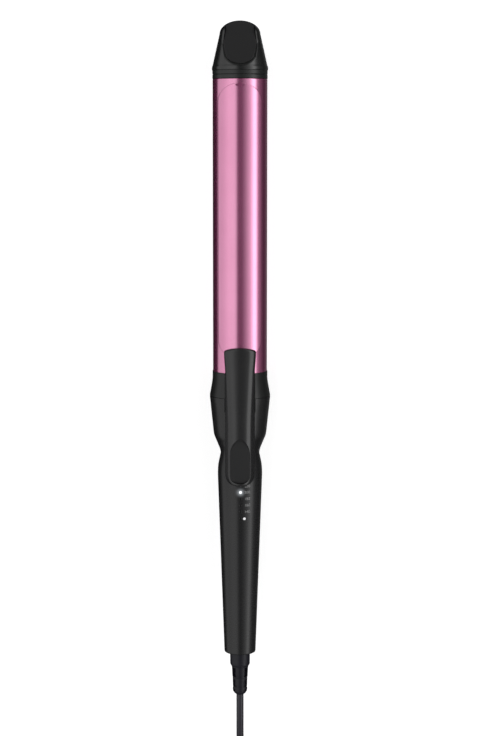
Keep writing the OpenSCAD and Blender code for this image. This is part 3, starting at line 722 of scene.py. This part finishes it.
# ---------------------------------------------------------------- cool tip
TIP_DOME_R, TIP_DOME_H = 11.9, 7.8
FLAT_TILT = math.radians(24.5)
FLAT_Y, FLAT_H = 176.6, 13.4
PAD_T = 0.8
TIP_LINE = (
    [(RIM_R - 0.2, TIP_LOW_Y), (RIM_R, TIP_LOW_Y + 0.2), (RIM_R, TIP_LOW_Y + 1.3)]
    + bend((RIM_R, TIP_LOW_Y + 1.3), (RIM_R, TIP_LOW_Y + 2.0), (RIM_R - 0.45, TIP_LOW_Y + 2.9), 6)
    + [(mix(RIM_R - 0.45, TIP_DOME_R, t), mix(TIP_LOW_Y + 2.9, TIP_END_Y - TIP_DOME_H, t))
       for t in np.linspace(0, 1, 40)[1:-1]]
    + arc((0, TIP_END_Y - TIP_DOME_H), TIP_DOME_R, TIP_DOME_H, 0, 89.2, 26)
)


def flat_height(x, y):
    """Height of the finger pad's face above the axis: a tilted plane, crowned a little."""
    return FLAT_H + PAD_T / math.cos(FLAT_TILT) - (y - FLAT_Y) * math.tan(FLAT_TILT) - 0.2 * (x / 9.7) ** 2


def tip_radius(y):
    return radius_on(TIP_LINE, y)


POCKET_W, POCKET_LOW, POCKET_LEN, POCKET_RIM = 9.8, FLAT_Y, 8.8, 1.15


def pocket_line(gap):
    """Right side of the pocket for the finger pad, from its round lower end up."""
    narrower, narrow_y, narrow_run = 1.9, 184.5, 21
    line = [(POCKET_W * math.sin(a), POCKET_LOW + POCKET_LEN * (1 - math.cos(a)))
            for a in np.linspace(0.0, math.pi / 2, 40)]
    for _, y in smooth_route([(0, POCKET_LOW + POCKET_LEN), (0, TIP_END_Y - 2.6)], 0.4)[1:]:
        line.append((POCKET_W - narrower * ease((y - narrow_y) / narrow_run), y))
    side, low = line[-1]
    for t in np.sin(np.linspace(0.02, math.pi / 2, 40)):
        line.append((side * max(0.0, 1 - t ** 2.4) ** 0.5, mix(low, TIP_END_Y - 0.1, t)))
    return [(max(0.0, w - gap), y) for w, y in line]


def make_tip():
    """Cool tip with a pocket for the finger pad, and the pad."""
    right = np.array(pocket_line(0))
    rim_slope, sink = 0.57, 0.55

    def height(x, y):
        """Top of the body: the cone, rounded over into the pocket."""
        full = math.sqrt(max(0.0, tip_radius(y) ** 2 - x * x))
        floor = flat_height(x, y) - sink
        if y > POCKET_LOW and abs(x) < np.interp(y, right[:, 1], right[:, 0]):
            return min(full, floor)
        away = distance_to(np.array((abs(x), y)), right[:-1], right[1:])
        rim = rim_slope * max(0.0, POCKET_RIM - away) + edge_drop(away, 0.3)
        return max(full - rim, min(full, floor))

    stations = [y for _, y in TIP_LINE[:9]]
    stations += list(np.arange(stations[-1] + 0.25, TIP_END_Y - TIP_DOME_H, 0.25))
    stations += [y for _, y in arc((0, TIP_END_Y - TIP_DOME_H), TIP_DOME_R, TIP_DOME_H, 0, 89.2, 43)]
    sections = []
    for y in stations:
        r = tip_radius(y)
        upper = [r * math.sin(a) for a in np.radians(np.linspace(-76, 76, 181))]
        lower = np.radians(np.linspace(76, 284, 85))[1:-1]
        sections.append([(x, y, height(x, y)) for x in upper]
                        + [(r * math.sin(a), y, r * math.cos(a)) for a in lower])
    body = new_object("cool_tip_cap", *lofted(sections), sharp=50)
    piece(body, "tip", "root", ("cool_tip",))

    line = []
    for w, y in pocket_line(0.12):
        r, h = tip_radius(min(y, TIP_END_Y)) - 0.2, flat_height(0, y) - 0.05
        room = math.sqrt(r * r - h * h) if r > h else 0.0
        if w > 0.04 and min(w, room) > 0.04:
            line.append((min(w, room), y))

    def top(x, y, d):
        return flat_height(x, y) - 0.03 - edge_drop(d, 0.4)

    def bottom(x, y, d):
        return flat_height(x, y) - 0.5

    pad = new_object("finger_pad", *plate(line, top, bottom, 40), sharp=50)
    piece(pad, "pad", "root", ("tip_pad",))


def make_ring():
    """Ring between the barrel and the tip, with a groove round it."""
    r = BARREL_R + 0.12
    back, front, groove = BARREL_HIGH[1], TIP_LOW_Y, 170.8
    line = [(0, back - 4), (14.9, back - 4), (14.9, back), (r - 0.12, back), (r, back + 0.12)]
    line += [(r, groove - 0.5)] + bend((r, groove - 0.5), (r - 0.05, groove - 0.1), (r - 0.28, groove), 4)
    line += bend((r - 0.28, groove), (r - 0.05, groove + 0.1), (r, groove + 0.5), 4)
    line += [(r, front - 0.1), (r - 0.1, front), (0, front)]
    piece(new_object("tip_collar", *turned(line, 192)), "ring", "root", ("tip_ring",))


# ---------------------------------------------------------------- ferrule and handle
def channel(back, w):
    """Space for the lever, cut into the top of the ferrule and the handle."""
    return side_prism(rounded([(w, 30, 0.1), (w, CHANNEL_FLOOR_H, 0.8), (-w, CHANNEL_FLOOR_H, 0.8),
                               (-w, 30, 0.1)], 5), back, 5)


def make_ferrule():
    mouth_r = BARREL_R + 0.3
    line = [(BARREL_R + 0.02, FERRULE_Y), (mouth_r - 0.1, FERRULE_Y), (mouth_r, FERRULE_Y - 0.1),
            (mouth_r, -6.8)]
    line += bend((mouth_r, -6.8), (mouth_r, -8.8), (SHOULDER_R, SEAM_Y + 0.4), 20)
    line += [(SHOULDER_R - 0.08, SEAM_Y + 0.12), (SHOULDER_R - 0.35, SEAM_Y + 0.02), (15, SEAM_Y),
             (15, -9.5), (BARREL_R + 0.02, -9.5)]
    obj = new_object("ferrule_collar", *turned(line, 192))
    carve(obj, [channel(SEAM_Y - 1, LEVER_HALF_W + 0.2)])
    soften(obj, 0.18, 50)
    piece(obj, "ferrule", "root", ("ferrule",))


# The keys' CAD nodes, each with its body and the name of its piece
KEYS = {
    "power_button": ("power_key", "power_key"),
    "heat_up_button": ("up_key", "heat_up_key"),
    "heat_down_button": ("down_key", "heat_down_key"),
}


def make_handle():
    """Two hollow half shells that meet at the sides, with openings for what goes through."""
    wall = 2
    inner = [(r - wall, y) for r, y in HANDLE_LINE if y > HANDLE_END_Y + END_ROUND]
    inner += [(HANDLE_END_R - wall, HANDLE_END_Y + 3), (5.4, HANDLE_END_Y + 3), (5.4, HANDLE_END_Y)]
    line = HANDLE_LINE + inner[::-1]
    upper = new_object("handle_upper", *turned(line, 128, -90, 90))
    lamps = [turned_up(LAMP_X, LAMP_Y - i * LAMP_PITCH, LAMP_R + 0.06, 5, 20, 24) for i in range(5)]
    carve(upper, [channel(CHANNEL_BACK_Y, LEVER_HALF_W + 0.35), *lamps])
    soften(upper, 0.12, 50)
    piece(upper, "handle", "root", ("handle_upper_shell",))

    lower = new_object("handle_lower", *turned(line, 128, 90, 270))
    keys = [on_flank(middle(node)[1], [(0, 6), (2.65, 6), (2.65, 20), (0, 20)]) for node in KEYS]
    screws = [turned_up(0, y, 2.8, -20, 3 - grip_radius(y), 32) for y in SCREW_YS]
    stand_grooves = [prism(oblong(x, -31.35, 1.4, 11.65), -20, -13.3) for x in (-7.5, 7.5)]
    carve(lower, keys + screws + stand_grooves)
    soften(lower, 0.12, 50)
    piece(lower, "handle", "root", ("handle_lower_shell",))


def turned_up(x, y, r, low, high, n):
    """Upright cylinder."""
    return prism(arc((x, y), r, r, 0, 360, n)[:-1], low, high)


def on_flank(y, line, around=40):
    """An outline of (radius, height) turned about a key's axis, which leans 35 degrees
    below +x from the wand's axis."""
    points, faces = turned(line, around)
    out = (math.sin(KEY_ANGLE), 0, math.cos(KEY_ANGLE))
    down = (math.cos(KEY_ANGLE), 0, -math.sin(KEY_ANGLE))
    placed = []
    for a, height, b in points:
        placed.append((a * down[0] + height * out[0], y + b, a * down[2] + height * out[2]))
    return placed, faces


def make_keys():
    for node, (body, name) in KEYS.items():
        y = middle(node)[1]
        top = grip_radius(y) + 0.25
        r, low, edge = 2.4, 9.95, 0.35
        line = [(0, low), (r, low), (r, top - edge)] + arc((r - edge, top - edge), edge, edge, 0, 90, 5)
        line += [(1.6, top - 0.02), (0.8, top - 0.1), (0, top - 0.12)]
        piece(new_object(name, *on_flank(y, line, 48)), "key", body, (node,))


# ---------------------------------------------------------------- lever
def lever_top(y):
    """Height of the lever's top along its middle, which is highest at the back."""
    return LEVER_TOP_H + LEVER_SLOPE * (LEVER_BACK_Y - y)


def lever_half_width(y):
    """Half-width in plan: a little wider in front, with both ends rounded."""
    side = mix(LEVER_HALF_W, LEVER_FRONT_HALF_W, ease((y + 3) / 12.5))
    front, back = LEVER_FRONT_Y - LEVER_FRONT_LEN, LEVER_BACK_Y + LEVER_BACK_LEN
    if y > front:
        return side * math.sqrt(max(0.0, 1 - ((y - front) / LEVER_FRONT_LEN) ** 2))
    if y < back:
        return side * max(0.0, 1 - ((back - y) / LEVER_BACK_LEN) ** 2.6) ** (1 / 2.6)
    return side


def lever_clear(x, y):
    """Height the lever's underside has to keep to pass over the handle when pressed down."""
    if y > CHANNEL_BACK_Y + 1.2:
        return -20.0
    gap, above_pin = 0.3, 6
    pressed = (PIN_Y - y) * math.sin(LEVER_OPEN) + above_pin * (1 - math.cos(LEVER_OPEN))
    return math.sqrt(radius_on(HANDLE_LINE, y - 0.4) ** 2 - x * x) + pressed + gap


def lever_bottom(x, y, side_h):
    """Underside of the lever: on the clip in front, a floor behind, low at the sides."""
    if y > CLIP_SEAT_Y:
        return math.sqrt((CLIP_OUT_R + 0.03) ** 2 - x * x)
    if y > HINGE_BACK_Y:
        return HINGE_ROOF_H
    floor = lever_top(y) - 3.2
    low = mix(floor, min(floor, side_h), ease((abs(x) - lever_half_width(y) + 2.2) / 1.2))
    return max(low, lever_clear(x, y))


# How steep the lever's top is across, in degrees, at shares of its half-width
STEEP = [0, 3.5, 7, 14, 27, 32, 56, 58]
STEEP_FRONT = [0, 0.14, 0.34, 0.55, 0.66, 0.84, 0.94, 1]
STEEP_BACK = [0, 0.12, 0.24, 0.38, 0.49, 0.66, 0.8, 1]


def lever_section(y):
    """Outline of the lever across, with its top rolled off by the steepness above."""
    top = lever_top(y)
    half_w = max(0.02, lever_half_width(y))
    end = min(LEVER_FRONT_Y - y, y - LEVER_BACK_Y)
    top -= edge_drop(end, 1.0 if y > 0 else 1.6)
    front = ease((y + 38) / 46)
    shares = np.concatenate([np.linspace(0, 0.9, 28), np.linspace(0.9, 1, 9)[1:]])
    steep = np.interp(shares, [mix(a, b, front) for a, b in zip(STEEP_BACK, STEEP_FRONT)], STEEP)
    slopes = np.tan(np.radians((steep[1:] + steep[:-1]) / 2))
    drops = np.concatenate([[0], np.cumsum(slopes * np.diff(shares))]) * half_w
    side_h = top - drops[-1]
    low_h = max(side_h - 1.6, lever_clear(half_w, y))
    if y > CLIP_SEAT_Y:
        low_h = lever_bottom(half_w, y, side_h)
    low_h = min(low_h, side_h - 0.1)
    right = [(half_w * u, top - drop) for u, drop in zip(shares, drops)]
    upper = [(half_w, low_h)] + right[::-1] + [(-x, h) for x, h in right[1:]] + [(-half_w, low_h)]
    lower = [(x, lever_bottom(x, y, low_h)) for x in np.linspace(-half_w, half_w, 25)[1:-1]]
    return [(x, y, h) for x, h in upper + lower]


def make_lever():
    """Lever with its two ears, and the thumb pad let into its top."""
    back = LEVER_BACK_Y + LEVER_BACK_LEN * (1 - np.cos(np.linspace(0.03, math.pi / 2, 26)))
    front = LEVER_FRONT_Y - LEVER_FRONT_LEN * (1 - np.cos(np.linspace(0.06, math.pi / 2, 14)))
    between = list(np.linspace(back[-1], front[-1], 60)[1:-1])
    steps = [y + side for y in (CLIP_SEAT_Y, HINGE_BACK_Y, CHANNEL_BACK_Y + 1.2) for side in (-0.05, 0.05)]
    stations = sorted(list(back) + between + steps + list(front))
    obj = new_object("lever_body", *lofted([lever_section(y) for y in stations]), sharp=55)

    ears = []
    for side in (-1, 1):
        outline = arc((PIN_Y, PIN_H), 3.6, 3.6, 180, 360, 20)
        outline += [(PIN_Y + 4, EAR_TOP_H), (PIN_Y - 4, EAR_TOP_H)]
        ears.append(lofted([[(x, y, h) for y, h in outline] for x in (side * 6.1, side * 8.35)]))
    ear = new_object("lever_ears", *joined(*ears), sharp=50)
    soften(ear, 0.25)
    piece(ear, "lever", "clip", ("lever",))

    depth = 2.3
    outline = pad_outline(0.12)
    recess = lofted([[(x, y, lever_top(y) - depth) for x, y in outline], [(x, y, 40) for x, y in outline]])
    carve(obj, [recess], sharp=40)
    soften(obj, 0.22, 45)
    piece(obj, "lever", "clip", ("lever",))

    def top(x, y, d):
        return lever_top(y) - 1.35 - 0.12 * (1 - (x / 5.8) ** 2) - edge_drop(d, 0.35)

    def bottom(x, y, d):
        return lever_top(y) - depth + 0.02

    pad = new_object("thumb_grip", *plate(pad_half_line(), top, bottom, 40), sharp=50)
    piece(pad, "pad", "clip", ("thumb_pad",))


PAD_FRONT_Y, PAD_BACK_Y, PAD_HALF_W = -41.2, -67.2, 5.75


def pad_half_line():
    """Right side of the thumb pad: a pointed arch towards the tip, a flatter end behind."""
    front_y, back_y = -50.6, -61.8
    line = []
    for t in np.linspace(0.02, 1, 26):
        s = math.cos(t * math.pi / 2)
        y = mix(front_y, PAD_FRONT_Y, s)
        line.append((PAD_HALF_W * max(0.0, 1 - s ** 2.1) ** (1 / 1.6), y))
    line += [(PAD_HALF_W, y) for y in np.linspace(front_y, back_y, 12)[1:-1]]
    for t in np.linspace(0, 0.985, 24):
        s = math.sin(t * math.pi / 2)
        line.append((PAD_HALF_W * max(0.0, 1 - s ** 2.6) ** (1 / 2.6), mix(back_y, PAD_BACK_Y, s)))
    return line


def pad_outline(gap):
    half = [(w + gap, y) for w, y in pad_half_line()]
    return half + [(-w, y) for w, y in reversed(half)]


# ---------------------------------------------------------------- strain relief
def make_relief():
    """Tapered sleeve with three rows of four pockets round it."""
    front = HANDLE_END_Y - 0.2
    line = [(0, front), (5.9, front), (6.05, front - 0.15), (5.98, -182.5)]
    line += bend((5.98, -182.5), (5.9, -183.1), (5.3, -183.9), 4)
    line += bend((5.3, -183.9), (4.9, -184.6), (4.85, -186.3), 5)
    line += [(4.62, -190.9), (4.35, -191.4), (4.5, -191.9), (4.35, -196.8), (4.15, -197.3), (4.45, -198.2)]
    line += bend((4.45, -198.2), (4.5, -200.6), (2.35, RELIEF_END_Y), 8)
    line += [(0, RELIEF_END_Y)]
    obj = new_object("relief_sleeve", *turned(line, 96), sharp=40)
    pockets = []
    for turn in (45, 135, 225, 315):
        for low, high in ((-190.5, -184.8), (-196.6, -192.1), (-200.2, -198.2)):
            corners = oblong(0, (low + high) / 2, 1.25, (high - low) / 2)
            points, faces = prism(rounded([(*corner, 0.5) for corner in corners], 4), 3.5, 9)
            a = math.radians(turn)
            points = [(x * math.cos(a) + h * math.sin(a), y, h * math.cos(a) - x * math.sin(a))
                      for x, y, h in points]
            pockets.append((points, faces))
    carve(obj, pockets, sharp=40)
    piece(obj, "relief", "swivel", ("strain_relief",))


# ---------------------------------------------------------------- scale of lamps
def make_lamps():
    """Five light guides in a row; the one nearest the lever is lit."""
    unlit = []
    for i in range(5):
        y = LAMP_Y - i * LAMP_PITCH
        r = grip_radius(y)
        dome = [(0, 7.6), (LAMP_R, 7.6), (LAMP_R, r - 0.12)]
        dome += arc((LAMP_R - 0.3, r - 0.12), 0.3, 0.2, 0, 90, 4) + [(0, r + 0.1)]
        points, faces = turned(dome, 28)
        solid = [(a + LAMP_X, y + b, height) for a, height, b in points], faces
        if i == 0:
            lit = new_object("lamp_lit", *solid, sharp=50)
            piece(lit, "lit", "root", ("indicator_lenses",))
        else:
            unlit.append(solid)
    piece(new_object("lamps_unlit", *joined(*unlit), sharp=50), "lens", "root",
          ("indicator_lenses",))


def make_numerals():
    """Temperature numbers beside the lamps, and a dot, printed on the handle; the dot's material adds a
    painted glow.
    """
    size, middle_x = 2.3, 4.3
    marks = []
    for i, y in enumerate((-70.95, -74.64, -78.57, -82.5, -86.44)):
        curve = bpy.data.curves.new("digits", "FONT")
        curve.body = str(220 - 20 * i)
        curve.size = size * MM
        curve.align_x, curve.align_y = "CENTER", "CENTER"
        temp = bpy.data.objects.new("digits", curve)
        scene.collection.objects.link(temp)
        bpy.context.view_layer.update()
        mesh = bpy.data.meshes.new_from_object(temp.evaluated_get(bpy.context.evaluated_depsgraph_get()))
        work = bmesh.new()
        work.from_mesh(mesh)
        bmesh.ops.subdivide_edges(work, edges=work.edges, cuts=2)
        bmesh.ops.triangulate(work, faces=work.faces)
        index = {v: number for number, v in enumerate(work.verts)}
        points = [(v.co.x / MM + middle_x, v.co.y / MM + y) for v in work.verts]
        faces = [[index[v] for v in face.verts] for face in work.faces]
        work.free()
        bpy.data.objects.remove(temp)
        marks.append((points, faces))
    printed(*joined(*marks), "scale_print", "print")
    printed(arc((2.62, -90.64), 0.78, 0.78, 0, 360, 24)[:-1], [list(range(24))], "scale_dot", "dot")


def printed(points, faces, name, look):
    """A thin layer of ink on the handle, over plan points."""
    obj = new_object(name, [(x, y, surface_h(x, y) + 0.02) for x, y in points], faces)
    skin = obj.modifiers.new("skin", "SOLIDIFY")
    skin.thickness = 0.03 * MM
    skin.offset = 1
    piece(obj, look, "root")


def surface_h(x, y):
    """Height of the handle's surface above the axis."""
    return math.sqrt(grip_radius(y) ** 2 - x * x)


make_barrel()
make_clip()
make_tip()
make_ring()
make_ferrule()
make_handle()
make_keys()
make_lever()
make_relief()
make_lamps()
make_numerals()


# ---------------------------------------------------------------- CAD nodes that stay
KEPT = {
    "steel": ["tip_screw", "handle_screws", "hinge_bracket", "pivot_pin", "clip_rivets", "thermal_fuse"],
    "spring": ["clip_spring", "spreader_spring"],
    "nickel": ["stand_loop"],
    "aluminium": ["heat_spreader_upper", "heat_spreader_lower"],
    "ceramic": ["heater_element"],
    "bead": ["thermistor"],
    "sleeve": ["heater_leads", "sensor_leads", "supply_leads"],
    "carrier": ["barrel_carrier", "swivel_socket", "swivel_core"],
    "board": ["circuit_board", "switch_board"],
    "part": ["board_parts", "tact_switches"],
    "brass": ["slip_contacts", "slip_rings"],
}


def dress_kept_nodes():
    for look, nodes in KEPT.items():
        for name in nodes:
            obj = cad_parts[name]
            obj.data.materials.clear()
            obj.data.materials.append(M[look])


dress_kept_nodes()


# ---------------------------------------------------------------- floor and light
def make_floor():
    points = [(-3000, -3000, 0), (3000, -3000, 0), (3000, 3000, 0), (-3000, 3000, 0)]
    floor = new_object("floor", points, [[0, 1, 2, 3]], lift=-0.3)
    made, n, where = new_material("floor_pale")
    tone = n.blend(n.noise(where, 6.0), (0.80, 0.80, 0.80, 1), (0.82, 0.82, 0.82, 1))
    n.show(n.add("ShaderNodeBsdfPrincipled", {
        "Base Color": tone, "Roughness": 0.9, "Emission Color": (1, 1, 1, 1), "Emission Strength": 0.7}))
    floor.data.materials.append(made)
    floor.visible_glossy = False
    floor.visible_diffuse = False


# Light round the wand, by the angle from straight up, in degrees towards +x: a broad
# softbox on the left, a dark gap overhead, and a narrow brighter strip on the right.
LIGHT_ROUND = [
    (-180, 0.03), (-150, 0.015), (-120, 0.015), (-112, 0.1), (-105, 0.6), (-98, 0.7), (-70, 0.78),
    (-45, 1.0), (-22, 1.0), (-15, 0.72), (-9, 0.2), (-2, 0.1), (8, 0.12), (16, 0.24), (25, 0.42),
    (33, 0.62), (42, 0.9), (50, 1.45), (57, 2.1), (66, 2.0), (72, 1.05), (79, 0.36), (90, 0.16),
    (112, 0.06), (125, 0.03), (150, 0.14), (180, 0.03),
]


def make_light():
    world = bpy.data.worlds.new("studio")
    scene.world = world
    world.use_nodes = True
    n = Nodes(world.node_tree)
    way = n.add("ShaderNodeSeparateXYZ", {0: n.add("ShaderNodeTexCoord").outputs["Generated"]}).outputs
    angle = n.math("ARCTAN2", way[0], way[2])
    place = n.math("MULTIPLY_ADD", angle, 1 / (2 * math.pi))
    place.node.inputs[2].default_value = 0.5
    ramp = n.add("ShaderNodeValToRGB", {0: place})
    stops = ramp.color_ramp.elements
    strongest = max(level for _, level in LIGHT_ROUND)
    while len(stops) > 1:
        stops.remove(stops[-1])
    for i, (degrees, level) in enumerate(LIGHT_ROUND):
        stop = stops[0] if i == 0 else stops.new(degrees / 360 + 0.5)
        if i == 0:
            stop.position = 0
        stop.color = [level / strongest] * 3 + [1]
    ends = n.between(n.math("ABSOLUTE", way[1]), strongest, 0.3 * strongest, 0.45, 0.95)
    lights = n.add("ShaderNodeBackground", {"Color": ramp.outputs[0], "Strength": ends})
    pale = n.add("ShaderNodeBackground", {"Color": (0.97, 0.97, 0.97, 1), "Strength": 1.0})
    seen = n.add("ShaderNodeLightPath").outputs["Is Camera Ray"]
    both = n.add("ShaderNodeMixShader", {0: seen, 1: lights.outputs[0], 2: pale.outputs[0]})
    n.add("ShaderNodeOutputWorld", {"Surface": both.outputs[0]})
    scene.view_settings.view_transform = "Standard"


make_floor()
make_light()
